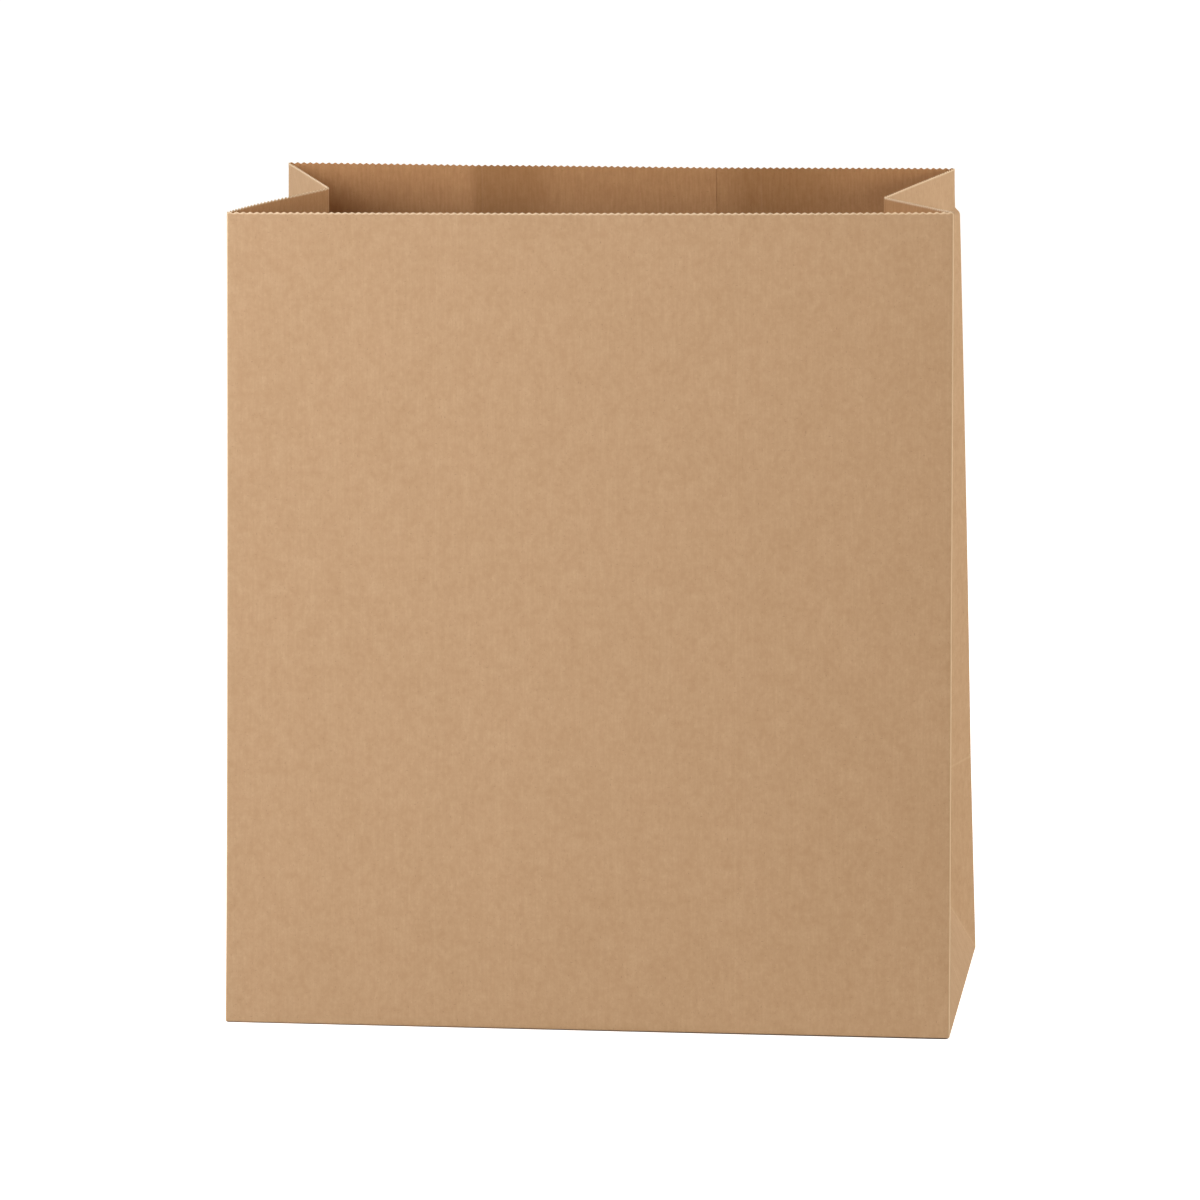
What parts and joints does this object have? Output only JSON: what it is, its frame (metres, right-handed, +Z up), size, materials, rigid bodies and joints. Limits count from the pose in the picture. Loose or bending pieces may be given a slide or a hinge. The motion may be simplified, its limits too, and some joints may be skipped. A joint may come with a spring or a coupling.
{
  "type": "brown paper lunch bag",
  "caption": "Open kraft paper bag with a flat glued base, tucked side gussets, a lapped back seam and a pinked mouth.",
  "frame": {"origin": "middle of the bounding box's bottom, on the underside of the base", "axes": "+Z up out of the mouth, +X along the front panel's width, -Y the way the front panel faces"},
  "size_m": [0.3052, 0.1902, 0.3492],
  "materials": {
    "kraft_paper": "uncoated brown kraft, matt, slightly fibrous"
  },
  "bodies": {
    "root": {"paper_bag": "kraft_paper"}
  },
  "joints": []
}
